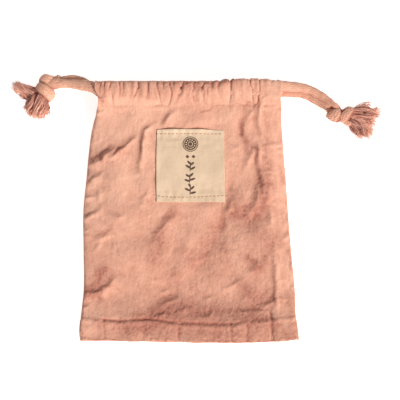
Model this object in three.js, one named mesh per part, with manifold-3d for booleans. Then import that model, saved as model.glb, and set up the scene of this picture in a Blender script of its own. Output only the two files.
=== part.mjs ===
// Kinchaku drawstring pouch, empty and lying on its back.
//
// One length of crinkled cloth makes the whole bag: it is tucked into a W at the bottom, sewn up both
// sides, and turned in at the mouth to make a casing on the front and another on the back. Two
// drawstrings run through both casings and pull opposite ways. Each one turns back on itself at one
// side of the mouth, and its two ends come out at the other side, where one knot ties them together and
// the cut ends fray. A plain cloth label is sewn on the front.
//
// Millimetres. X runs across the pouch, Y from the bottom fold to the mouth, Z up.
// Origin: the middle of the bag's footprint, on the surface that it lies on.

import * as THREE from 'three';
import { mergeVertices } from 'three/addons/utils/BufferGeometryUtils.js';
import Module from 'manifold-3d';

const wasm = await Module();
wasm.setup();

// ---- Driving dimensions ----

const LENGTH = 181; // bottom fold to mouth
const TOP = LENGTH / 2;
const BOTTOM = -LENGTH / 2;
const CLOTH = 0.8; // crinkled cloth, crests included
const LAYER_GAP = 0.4; // between layers that are pressed together
const TUCK = 15; // depth of the W at the bottom
const CORD = 5; // drawstring diameter
const CORD_PLAY = 0.3; // round a drawstring in its casing
const CASING = 20; // mouth edge to the casing's line of stitching
const MOUTH_GAP = 4.8; // between the two casings
const TOUCH = 0.3; // between pieces that lie on or against each other

const CASING_HEIGHT = 2 * (CLOTH + CORD_PLAY) + CORD;
const MOUTH_HEIGHT = 2 * CASING_HEIGHT + MOUTH_GAP;
const EDGE_HEIGHT = 4 * CLOTH + 3 * LAYER_GAP; // four layers: the tuck, or a seam's turnings

// The bag's sides, as [y, x] from the bottom up. The gathers pull the mouth in.
const LEFT_SIDE = [
  [BOTTOM, -74], [-57, -72.4], [0, -73.2], [24, -71.8], [42, -70.4], [60, -68.2], [72, -65.5], [TOP, -65.6],
];
const RIGHT_SIDE = [
  [BOTTOM, 74], [-57, 72], [0, 67.8], [42, 65.4], [60, 64.4], [72, 63.9], [TOP, 64.2],
];

// How high the front stands along the middle of the bag, as [y, z].
const STITCH_LINE = TOP - CASING;
const CASING_SHOULDER = TOP - 12.9; // where the casing reaches its full height
const FRONT_HEIGHTS = [
  [BOTTOM + TUCK, EDGE_HEIGHT], [-60, 5.2], [-40, 8.4], [-20, 11.4], [0, 13.2], [40, 14.4],
  [STITCH_LINE - 1.5, 15.2], [STITCH_LINE + 1, 15.4], [CASING_SHOULDER, MOUTH_HEIGHT], [TOP, MOUTH_HEIGHT],
];

const CLOTH_COLOUR = 0xe6aa8e;
const CORD_COLOUR = 0xe4a68a;
const LABEL_COLOUR = 0xebcda8;

// ---- Shape of the bag ----

const smoothstep = THREE.MathUtils.smoothstep;
const lerp = THREE.MathUtils.lerp;

// The value at y of a list of [y, value], straight between its points.
function along(list, y) {
  const next = list.findIndex(([at]) => at >= y);
  if (next === 0) return list[0][1];
  if (next < 0) return list.at(-1)[1];
  const [y0, v0] = list[next - 1];
  const [y1, v1] = list[next];
  return lerp(v0, v1, (y - y0) / (y1 - y0));
}

// Height of the front's outer face, where across is -1 at the left side and 1 at the right. It is
// domed across the bag, down to EDGE_HEIGHT at the side seams, and level across the casing.
function frontHeight(across, y) {
  const middle = along(FRONT_HEIGHTS, y);
  const edge = lerp(EDGE_HEIGHT, middle, smoothstep(y, 45, STITCH_LINE));
  return lerp(edge, middle, 1 - across ** 4);
}

// Moves a point of the folded bag, whose x is -1 to 1 across it, to its place. Heights under half of
// FLAT are measured up from the surface that the bag lies on, and the others down from the front's
// outer face at FLAT.
const FLAT = 40;
function place(across, y, z) {
  const x = lerp(along(LEFT_SIDE, y), along(RIGHT_SIDE, y), (across + 1) / 2);
  return [x, y, z < FLAT / 2 ? z : frontHeight(across, y) - (FLAT - z)];
}

function moveEach(geometry, move) {
  const position = geometry.getAttribute('position');
  for (let i = 0; i < position.count; i++) {
    position.setXYZ(i, ...move(position.getX(i), position.getY(i), position.getZ(i)));
  }
  return geometry;
}

// ---- Solids that join and cut ----

function toSolid(geometry) {
  const bare = geometry.clone();
  bare.deleteAttribute('normal');
  bare.deleteAttribute('uv');
  const merged = mergeVertices(bare, 1e-4);
  return new wasm.Manifold(new wasm.Mesh({
    numProp: 3,
    vertProperties: new Float32Array(merged.getAttribute('position').array),
    triVerts: new Uint32Array(merged.index.array),
  }));
}

function toGeometry(solid) {
  const { vertProperties, triVerts } = solid.getMesh();
  const geometry = new THREE.BufferGeometry();
  geometry.setAttribute('position', new THREE.BufferAttribute(new Float32Array(vertProperties), 3));
  geometry.setIndex(new THREE.BufferAttribute(new Uint32Array(triVerts), 1));
  return geometry;
}

function block(low, high) {
  const size = high.map((value, i) => value - low[i]);
  const geometry = new THREE.BoxGeometry(...size);
  geometry.translate(...low.map((value, i) => value + size[i] / 2));
  return geometry;
}

function named(name, geometry, colour) {
  const material = new THREE.MeshStandardMaterial({ color: colour, roughness: 0.9, metalness: 0 });
  const mesh = new THREE.Mesh(geometry, material);
  mesh.name = name;
  return mesh;
}

// ---- The bag's cloth ----

const PANEL_STATIONS = [40, 20, 0, -20, -40, -60];
const HEM_END = STITCH_LINE - 2;
const FOLD = 1.6; // radius of the mouth's fold, outside
const TUCK_TOP = BOTTOM + TUCK;
const SECOND_LAYER = CLOTH + LAYER_GAP;

// The back half of the cloth's section, from the hem inside the casing, over the mouth's fold, down the
// back and into the tuck. Each entry is the [y, z] of its outer face and of its inner face there. The
// front half mirrors it.
const BACK_HALF = [
  [[HEM_END, SECOND_LAYER + CLOTH], [HEM_END, SECOND_LAYER]],
  [[STITCH_LINE + 0.9, SECOND_LAYER + CLOTH], [STITCH_LINE + 1.3, SECOND_LAYER]],
  [[CASING_SHOULDER, CASING_HEIGHT], [CASING_SHOULDER + 0.4, CASING_HEIGHT - CLOTH]],
  [[TOP - FOLD, CASING_HEIGHT], [TOP - FOLD - 0.6, CASING_HEIGHT - CLOTH]],
  [[TOP, CASING_HEIGHT - FOLD], [TOP - CLOTH, CASING_HEIGHT - FOLD - 0.6]],
  [[TOP, FOLD], [TOP - CLOTH, FOLD + 0.6]],
  [[TOP - FOLD, 0], [TOP - FOLD - 0.6, CLOTH]],
  [[CASING_SHOULDER, 0], [CASING_SHOULDER, CLOTH]],
  [[STITCH_LINE + 1, 0], [STITCH_LINE + 1, CLOTH]],
  [[STITCH_LINE - 1.5, 0], [STITCH_LINE - 1.5, CLOTH]],
  ...PANEL_STATIONS.map((y) => [[y, 0], [y, CLOTH]]),
  [[TUCK_TOP, 0], [TUCK_TOP, CLOTH]],
  [[BOTTOM + 0.6, 0], [BOTTOM + CLOTH + 0.2, CLOTH]],
  [[BOTTOM, 0.6], [BOTTOM + CLOTH, CLOTH + 0.1]],
  [[BOTTOM, SECOND_LAYER + CLOTH - 0.6], [BOTTOM + CLOTH, SECOND_LAYER - 0.1]],
  [[BOTTOM + 0.6, SECOND_LAYER + CLOTH], [BOTTOM + CLOTH + 0.2, SECOND_LAYER]],
  [[TUCK_TOP - CLOTH - 0.4, SECOND_LAYER + CLOTH], [TUCK_TOP - 0.4, SECOND_LAYER]],
  [[TUCK_TOP - CLOTH, EDGE_HEIGHT / 2 - 0.1], [TUCK_TOP, SECOND_LAYER + 0.4]],
];
const FRONT_HALF = BACK_HALF.map((faces) => faces.map(([y, z]) => [y, FLAT - z])).toReversed();
const FOLDS = [...BACK_HALF, ...FRONT_HALF];

// The cloth starts as a flat slab with a row of corners for each fold, and every row goes to its fold.
function foldedCloth() {
  const last = FOLDS.length - 1;
  const slab = new THREE.BoxGeometry(2, last, 1, 16, last, 1);
  return moveEach(slab, (across, row, side) => {
    const [y, z] = FOLDS[Math.round(row + last / 2)][side < 0 ? 1 : 0];
    return place(across, y, z);
  });
}

// A side seam closes the bag from the bottom fold to the stitching under the casing.
function sideSeam(from, to) {
  const low = BOTTOM + 0.3;
  const high = STITCH_LINE - 1.5;
  const strip = new THREE.BoxGeometry(to - from, high - low, FLAT - 0.2, 1, 24, 1);
  strip.translate((from + to) / 2, (low + high) / 2, FLAT / 2);
  return moveEach(strip, place);
}

// Where a drawstring turns back, the casings' inner walls are drawn back from the ends.
const DRAWN_BACK_LEFT = -57;
const DRAWN_BACK_RIGHT = 56;

function pouchCloth() {
  const cloth = toSolid(foldedCloth());
  const leftSeam = toSolid(sideSeam(-0.995, -0.975));
  const rightSeam = toSolid(sideSeam(0.975, 0.995));
  const low = [CASING_SHOULDER + 0.5, CASING_HEIGHT - CLOTH - CORD / 2];
  const high = [TOP - CLOTH - 0.1, CASING_HEIGHT + MOUTH_GAP + CLOTH + CORD / 2];
  const leftWay = toSolid(block([-80, ...low], [DRAWN_BACK_LEFT, ...high]));
  const rightWay = toSolid(block([DRAWN_BACK_RIGHT, ...low], [80, ...high]));
  return toGeometry(cloth.add(leftSeam).add(rightSeam).subtract(leftWay).subtract(rightWay));
}

// ---- The label ----

const LABEL_LEFT = -22.6;
const LABEL_RIGHT = 23.9;
const LABEL_BOTTOM = 3.4;
const LABEL_TOP = 53.8;
const LABEL_CLOTH = 0.5;

// A thin patch that lies on the front and follows its dome.
function label() {
  const patch = new THREE.BoxGeometry(
    LABEL_RIGHT - LABEL_LEFT, LABEL_TOP - LABEL_BOTTOM, LABEL_CLOTH, 6, 6, 1,
  );
  patch.translate((LABEL_LEFT + LABEL_RIGHT) / 2, (LABEL_BOTTOM + LABEL_TOP) / 2, LABEL_CLOTH / 2);
  return moveEach(patch, (x, y, z) => {
    const left = along(LEFT_SIDE, y);
    const right = along(RIGHT_SIDE, y);
    return [x, y, frontHeight((2 * x - left - right) / (right - left), y) + TOUCH + z];
  });
}

// ---- Drawstrings ----

const UPPER_LANE = TOP - CLOTH - CORD_PLAY - CORD / 2; // the drawstring nearer the mouth's fold
const LOWER_LANE = UPPER_LANE - CORD - 1;
const BACK_LEVEL = CLOTH + CORD_PLAY + CORD / 2;
const FRONT_LEVEL = MOUTH_HEIGHT - BACK_LEVEL;
const LEFT_EXIT = -66.2;
const RIGHT_EXIT = 64.8;
const TURN_DEPTH = 6; // how far a drawstring's turn reaches past where it starts

function tube(points, steps, sides = 8) {
  const path = new THREE.CatmullRomCurve3(points.map((p) => new THREE.Vector3(...p)), false, 'centripetal');
  const circle = new THREE.Shape();
  for (let i = 0; i < sides; i++) {
    const angle = (2 * Math.PI * i) / sides;
    const corner = [(CORD / 2) * Math.cos(angle), (CORD / 2) * Math.sin(angle)];
    if (i === 0) circle.moveTo(...corner);
    else circle.lineTo(...corner);
  }
  return new THREE.ExtrudeGeometry(circle, { extrudePath: path, steps, bevelEnabled: false });
}

// The length of one drawstring that its casings hold: in at the exit through the front casing, round
// the far end of the mouth, and back out through the back casing. Each casing has a lane for each cord.
function heldLength(exit, turnAt, frontLane, backLane) {
  const way = Math.sign(turnAt - exit);
  const points = [];
  for (const share of [0, 0.25, 0.5, 0.75, 0.96]) {
    points.push([lerp(exit, turnAt, share), frontLane, FRONT_LEVEL]);
  }
  for (let i = 0; i <= 6; i++) {
    const angle = (Math.PI * i) / 6;
    const share = (1 - Math.cos(angle)) / 2;
    points.push([
      turnAt + way * TURN_DEPTH * Math.sin(angle),
      lerp(frontLane, backLane, share),
      lerp(FRONT_LEVEL, BACK_LEVEL, share),
    ]);
  }
  for (const share of [0.96, 0.75, 0.5, 0.25, 0]) {
    points.push([lerp(exit, turnAt, share), backLane, BACK_LEVEL]);
  }
  return tube(points, 72);
}

// The free ends, from the casing to the knot: each comes straight out and settles towards the surface.
const LEFT_FRONT_END = [
  [LEFT_EXIT - TOUCH, LOWER_LANE, FRONT_LEVEL], [LEFT_EXIT - 2.3, LOWER_LANE, FRONT_LEVEL],
  [-72.5, LOWER_LANE + 0.6, 14], [-77, 84.6, 10.6], [-82, 86.8, 7.6], [-87, 87.6, 5.9],
  [-92.8, 87.3, 5.6],
];
const LEFT_BACK_END = [
  [LEFT_EXIT - TOUCH, UPPER_LANE, BACK_LEVEL], [LEFT_EXIT - 2.3, UPPER_LANE, BACK_LEVEL],
  [-75, 90, 3], [-81, 92.4, 2.9], [-87, 93.1, 3], [-92.8, 92.7, 3.8],
];
const RIGHT_FRONT_END = [
  [RIGHT_EXIT + TOUCH, UPPER_LANE, FRONT_LEVEL], [RIGHT_EXIT + 2.3, UPPER_LANE, FRONT_LEVEL],
  [72, 85.9, 13.6], [78, 84.4, 10.8], [85.6, 82.2, 8], [91, 79.2, 6.6], [96.2, 75.9, 6.2],
];
const RIGHT_BACK_END = [
  [RIGHT_EXIT + TOUCH, LOWER_LANE, BACK_LEVEL], [RIGHT_EXIT + 2.3, LOWER_LANE, BACK_LEVEL],
  [73, 81.2, 3], [79, 80.3, 2.8], [86, 77.1, 2.8], [90.6, 74.2, 3], [94.3, 71.6, 3.6],
];

// ---- Knots and frayed ends ----

// A tight knot in two cords, as one rounded lump turned by a number of degrees about Z.
function knot([x, y, z], [rx, ry, rz], turn) {
  const lump = new THREE.SphereGeometry(1, 14, 9);
  lump.scale(rx, ry, rz);
  lump.rotateZ(THREE.MathUtils.degToRad(turn));
  lump.translate(x, y, z);
  return lump;
}

// A cut end that has come apart into its yarns: a flat flare from the knot to a ragged rim.
function frayedEnd([x, y, z], length, neck, rim, thickness, turn) {
  const profile = [
    [0, 0], [neck / 2, 0], [lerp(neck, rim, 0.45) / 2, 0.35 * length], [rim / 2, 0.85 * length],
    [0.38 * rim, length], [0, length],
  ];
  const flare = new THREE.LatheGeometry(profile.map(([r, at]) => new THREE.Vector2(r, at)), 12);
  flare.scale(1, 1, thickness / rim);
  flare.rotateZ(THREE.MathUtils.degToRad(turn - 90));
  flare.translate(x, y, z);
  return flare;
}

const pouch = new THREE.Group();
pouch.add(
  named('pouch_cloth', pouchCloth(), CLOTH_COLOUR),
  named('label', label(), LABEL_COLOUR),
  named('left_drawstring', heldLength(LEFT_EXIT, 57, LOWER_LANE, UPPER_LANE), CORD_COLOUR),
  named('right_drawstring', heldLength(RIGHT_EXIT, -58.3, UPPER_LANE, LOWER_LANE), CORD_COLOUR),
  named('left_front_end', tube(LEFT_FRONT_END, 14), CORD_COLOUR),
  named('left_back_end', tube(LEFT_BACK_END, 14), CORD_COLOUR),
  named('right_front_end', tube(RIGHT_FRONT_END, 14), CORD_COLOUR),
  named('right_back_end', tube(RIGHT_BACK_END, 14), CORD_COLOUR),
  named('left_knot', knot([-101, 87.3, 7], [7.6, 9.6, 6.9], 12), CORD_COLOUR),
  named('right_knot', knot([105.8, 67.4, 6.9], [9.2, 7.4, 6.8], -24), CORD_COLOUR),
  named('left_upper_frayed_end', frayedEnd([-109.4, 83, 4.2], 16.5, 6, 9, 6.4, 168), CORD_COLOUR),
  named('left_lower_frayed_end', frayedEnd([-104.8, 76.9, 4.2], 13.5, 6, 14.5, 7, 246), CORD_COLOUR),
  named('right_upper_frayed_end', frayedEnd([115.8, 68, 4.4], 15.5, 6, 13, 7, -3), CORD_COLOUR),
  named('right_lower_frayed_end', frayedEnd([113.8, 60.9, 4.2], 16.5, 6, 12, 7, -38), CORD_COLOUR),
);

export default pouch;
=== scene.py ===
"""An empty kinchaku pouch lying on its back, its mouth gathered on two drawstrings that are drawn out
to their knots.

The cloth, the label and the cords are surfaces worked out on grids, in millimetres in the row frame:
X across the pouch, Y towards the mouth, Z up.
"""

import math

import bpy
import numpy as np
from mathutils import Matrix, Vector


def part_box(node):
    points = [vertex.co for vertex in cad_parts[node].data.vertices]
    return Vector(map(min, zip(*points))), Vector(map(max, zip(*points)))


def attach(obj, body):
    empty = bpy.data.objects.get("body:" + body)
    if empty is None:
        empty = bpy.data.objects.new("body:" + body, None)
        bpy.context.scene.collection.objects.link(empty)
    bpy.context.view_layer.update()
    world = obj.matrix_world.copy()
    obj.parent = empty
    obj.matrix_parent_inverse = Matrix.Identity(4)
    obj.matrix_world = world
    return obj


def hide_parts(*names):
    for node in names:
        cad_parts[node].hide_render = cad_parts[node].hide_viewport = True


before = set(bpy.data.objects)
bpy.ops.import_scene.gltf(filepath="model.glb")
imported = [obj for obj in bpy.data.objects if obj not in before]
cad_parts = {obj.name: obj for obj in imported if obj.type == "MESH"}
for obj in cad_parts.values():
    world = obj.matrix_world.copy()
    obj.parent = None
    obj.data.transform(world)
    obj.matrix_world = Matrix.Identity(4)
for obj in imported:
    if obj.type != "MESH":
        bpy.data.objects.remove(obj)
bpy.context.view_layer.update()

MM = 0.001

# ---- Sizes, from the frame and the CAD's own driving dimensions ----


def corners(node):
    """A CAD node's lowest and highest corners, in millimetres."""
    low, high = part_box(node)
    return np.array(low) / MM, np.array(high) / MM


CLOTH_LOW, CLOTH_HIGH = corners("pouch_cloth")
LABEL_LOW, LABEL_HIGH = corners("label")
BOTTOM = CLOTH_LOW[1]
TOP = CLOTH_HIGH[1] - 2.4  # the gathers draw the mouth in a little
MOUTH_HEIGHT = CLOTH_HIGH[2]
STITCH_LINE = CLOTH_HIGH[1] - 20.6  # the casing's
TUCK_TOP = CLOTH_LOW[1] + 15
CASING_HEIGHT = 7.2  # of one casing's hollow, with its outer layer
CORD = 5.0  # thickness of a cord
CLOTH = 0.6  # of the bag's cloth here
CAD_CLOTH = 0.8  # and in the CAD
LABEL_CLOTH = 0.35
CLEARANCE = 0.3
FOLD_RADIUS = 3.5  # of the mouth's fold
BOTTOM_RADIUS = 0.95  # of the bottom's
SEAM_GAP = 0.04  # from the casing's line to the next row of points, so that both sides are shaded alike

# ---- Curves, noise and folds ----


def smoothstep(low, high, value):
    """0 below low, 1 above high, and 3t^2 - 2t^3 between them."""
    t = np.clip((value - low) / (high - low), 0, 1)
    return t * t * (3 - 2 * t)


def through(points, at):
    """A smooth curve through (position, value) points: a cubic between each two, whose slope at a point
    is the average slope there."""
    known, value = np.array(points, float).T
    slope = np.gradient(value, known)
    i = np.clip(np.searchsorted(known, at) - 1, 0, len(known) - 2)
    span = known[i + 1] - known[i]
    t = np.clip((at - known[i]) / span, 0, 1)
    held = (2 * t**3 - 3 * t**2 + 1) * value[i] + (3 * t**2 - 2 * t**3) * value[i + 1]
    bent = (t**3 - 2 * t**2 + t) * slope[i] + (t**3 - t**2) * slope[i + 1]
    return held + span * bent


def gone_along(path):
    """How far along a path each of its points lies."""
    return np.concatenate([[0], np.cumsum(np.linalg.norm(np.diff(path, axis=0), axis=1))])


def spline(points, count):
    """Evenly spaced points on a smooth curve through the given ones, by their distance along it."""
    points = np.array(points, float)
    gone = gone_along(points)
    dense = np.linspace(0, gone[-1], 40 * len(points))
    curve = np.stack([through(np.stack([gone, axis], 1), dense) for axis in points.T], 1)
    gone = gone_along(curve)
    even = np.linspace(0, gone[-1], count)
    return np.stack([np.interp(even, gone, axis) for axis in curve.T], 1)


def length_of(path):
    """A path's length: the sum of the distances between its points."""
    return float(np.linalg.norm(np.diff(path, axis=0), axis=1).sum())


def unit(vectors):
    """The vectors' directions, each with a length of 1."""
    return vectors / np.maximum(np.linalg.norm(vectors, axis=-1, keepdims=True), 1e-9)


def ripples(x, y, wavelength, seed, upright=1.0):
    """Random rolling relief between about -1 and 1: the average of plane waves of every direction, with
    wavelengths near the given one. Upright above 1 stretches it along Y."""
    rng = np.random.default_rng(seed)
    waves = 14
    total = np.zeros(np.shape(x))
    for _ in range(waves):
        turn = rng.uniform(0, 2 * math.pi)
        beat = 2 * math.pi / (wavelength * rng.uniform(0.7, 1.5))
        total += np.cos(beat * (x * math.cos(turn) + y * math.sin(turn) / upright) + rng.uniform(0, 7))
    return total * math.sqrt(2 / waves) / 1.6


def crumple(x, y, wavelength, seed, upright=1.0):
    """Sharp little ridges: one less the size of rolling relief, so that it peaks where that is level."""
    return 1 - 2 * np.abs(ripples(x, y, wavelength, seed, upright=upright))


def fold(x, y, points, left, right=None):
    """The relief of one fold in cloth. Points are (x, y, height) along its crest. The relief falls away
    as exp(-(d / width)^1.6), where d is the distance from the crest and the width is `left` on the
    crest's left-hand side and `right` on the other, or `left` on both."""
    best = np.full(np.shape(x), 1e9)
    side = np.zeros(np.shape(x))
    height = np.zeros(np.shape(x))
    for (x0, y0, h0), (x1, y1, h1) in zip(points[:-1], points[1:]):
        dx, dy = x1 - x0, y1 - y0
        t = np.clip(((x - x0) * dx + (y - y0) * dy) / (dx * dx + dy * dy), 0, 1)
        px, py = x - x0 - t * dx, y - y0 - t * dy
        d = np.hypot(px, py)
        nearer = d < best
        best = np.where(nearer, d, best)
        side = np.where(nearer, dx * py - dy * px, side)
        height = np.where(nearer, h0 + (h1 - h0) * t, height)
    return height * np.exp(-((best / np.where(side > 0, left, right or left)) ** 1.6))


# ---- The bag's shape ----

LEFT_EDGE = [
    (BOTTOM, -73.2), (-86, -74.0), (-74, -73.5), (-57, -72.0), (-30, -72.6), (0, -73.4), (22, -71.8),
    (40, -70.5), (55, -68.6), (64, -66.3), (69, -64.3), (73, -63.3), (76.5, -63.5), (80, -65.0), (84, -65.5),
    (TOP, -65.3),
]
RIGHT_EDGE = [
    (BOTTOM, 73.6), (-86, 73.3), (-74, 71.9), (-57, 71.6), (-30, 69.6), (0, 67.7), (22, 66.6), (40, 65.4),
    (59, 64.2), (70, 63.5), (78, 62.6), (TOP, 64.0),
]
FRONT_MIDDLE = [
    (BOTTOM, 4.1), (-80, 4.8), (-76.5, 5.0), (-70, 3.6), (-62, 2.8), (-50, 3.9), (-30, 6.8), (0, 9.9),
    (35, 11.6), (55, 12.3), (62, 12.9), (66, 13.4), (STITCH_LINE, 14.3), (73, 15.5), (77, 17.7), (81, 19.2),
    (TOP, 19.2),
]
FRONT_SIDES = [
    (BOTTOM, 3.9), (-77, 4.0), (-66, 3.2), (-30, 3.8), (20, 4.6), (45, 6.4), (62, 10.8), (STITCH_LINE, 13.5),
    (73, 15.3), (77, 17.6), (81, 19.1), (TOP, 19.1),
]
SEAM_HEIGHT = [(BOTTOM, 2.0), (-70, 1.7), (0, 2.0), (40, 2.6), (62, 4.6), (TOP, 6)]
# How far the mouth's fold and the bottom fold stand out past their straight line, across the bag.
MOUTH_LINE = [(-70, 0.0), (-50, -0.2), (-10, -0.6), (10, -0.3), (30, 1.4), (46, 1.7), (57, 0.6), (66, -1.2)]
BOTTOM_LINE = [(-75, 0.3), (-40, 0.0), (0, -0.6), (45, -0.9), (64, 0.2), (75, 1.6)]


def sideways(across, y):
    """X at a share across the bag, which is -1 on its left side and 1 on its right."""
    left, right = through(LEFT_EDGE, y), through(RIGHT_EDGE, y)
    return left + (right - left) * (across + 1) / 2


def front_height(across, y):
    """Height of the smooth front, domed as 1 - across^4 between its sides and its middle."""
    middle, sides = through(FRONT_MIDDLE, y), through(FRONT_SIDES, y)
    return sides + (middle - sides) * (1 - across**4)


def lengthwise(x, y):
    """Y, with the mouth's and bottom's own uneven lines worked in near them."""
    at_mouth = smoothstep(45, TOP, y)
    at_bottom = 1 - smoothstep(BOTTOM, BOTTOM + 30, y)
    return y + at_mouth * through(MOUTH_LINE, x) + at_bottom * through(BOTTOM_LINE, x)


# ---- Relief of the cloth ----

# Valleys of the gathers, from the mouth down: the width, and (x, y, depth) points.
GATHERS = [
    (0.6, (-63.6, 91, -0.6), (-63.5, 84, -0.5), (-63, 79.5, -0.2)),
    (0.8, (-61.3, 91, -1.3), (-61.6, 84, -1.1), (-61.9, 79.5, -0.7), (-61.9, 76, 0)),
    (0.8, (-58.9, 91, -1), (-59.1, 84, -0.9), (-59.2, 79.5, -0.4), (-59, 77, 0)),
    (1.3, (-54.5, 91, -1.7), (-54.9, 84, -1.2), (-56.2, 78, 0)),
    (1.2, (-54.4, 80, 0), (-53.4, 76, -0.8), (-52.8, 66, 0)),
    (1.3, (-49.2, 91, -1.7), (-48.4, 82, -1), (-49, 73, 0)),
    (1, (-45.9, 91, -0.9), (-45.7, 84, -0.7), (-45.6, 77, 0)),
    (1.1, (-42.7, 91, -1.1), (-42.8, 82, 0)),
    (1.4, (-36.3, 91, -1.7), (-35.4, 83, -1.3), (-36.6, 79, -1), (-40.2, 72, 0)),
    (1, (-32.3, 91, -0.7), (-32.2, 80, 0)),
    (1.3, (-28.2, 91, -1.5), (-29.1, 81, -1.1), (-29.8, 74, 0)),
    (1.2, (-23.4, 91, -1.4), (-21.4, 79, -1.2), (-18.9, 68, 0)),
    (1.1, (-18.9, 91, -1.4), (-18, 80, 0)),
    (1.2, (-15.2, 91, -1.2), (-12.6, 80, -1.3), (-13.1, 74.5, -1.1), (-15.6, 67, 0)),
    (1.1, (-11.2, 91, -1.1), (-11.7, 80, 0)),
    (1.7, (-5.2, 91, -2.3), (-6.2, 82, -1.9), (-9.2, 73, 0)),
    (1.4, (1.7, 91, -1.8), (2.9, 82, -1.2), (-0.2, 73, 0)),
    (1.6, (9.1, 91, -2.2), (8.5, 84, -1.7), (9.9, 72, 0)),
    (1, (11.9, 84, 0), (11.9, 80, -0.8), (11.8, 73, 0)),
    (1.2, (15.3, 91, -1.4), (16.1, 80, 0)),
    (1.2, (21.5, 91, -1.2), (19.2, 83, -1), (21.2, 74, 0)),
    (1.3, (27, 92, -1.8), (28.5, 82, -1.5), (28.6, 77, -1.3), (26.2, 67.5, 0)),
    (1.2, (30.7, 92, -1.2), (33, 77, 0)),
    (1, (36, 92, -0.7), (36.4, 84, 0)),
    (1.2, (40.2, 92, -1.5), (42, 82, -1.3), (43.9, 77.6, -1), (43.8, 71, -0.6)),
    (1.3, (48.8, 92, -1.4), (48, 82, -1.1), (47.2, 76, -1.4), (47.9, 70, -1.8)),
    (1.1, (57.1, 92, -0.9), (57, 82, 0)),
    (2.4, (-6, 92, -1.6), (-6.2, 83.5, -1.6), (-7, 76, 0)),
    (1.6, (2, 79, 0), (2.3, 76.3, -1.2), (3, 72.5, 0)),
    (2.2, (8, 92, -1.2), (8.4, 82, -1.4), (9.2, 77, 0)),
    (2, (14.7, 92, -1.6), (14.8, 83, -1.2), (15.4, 79, 0)),
    (1.8, (20.4, 92, -1.4), (20.2, 85, -0.8), (20, 81, 0)),
]
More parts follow.
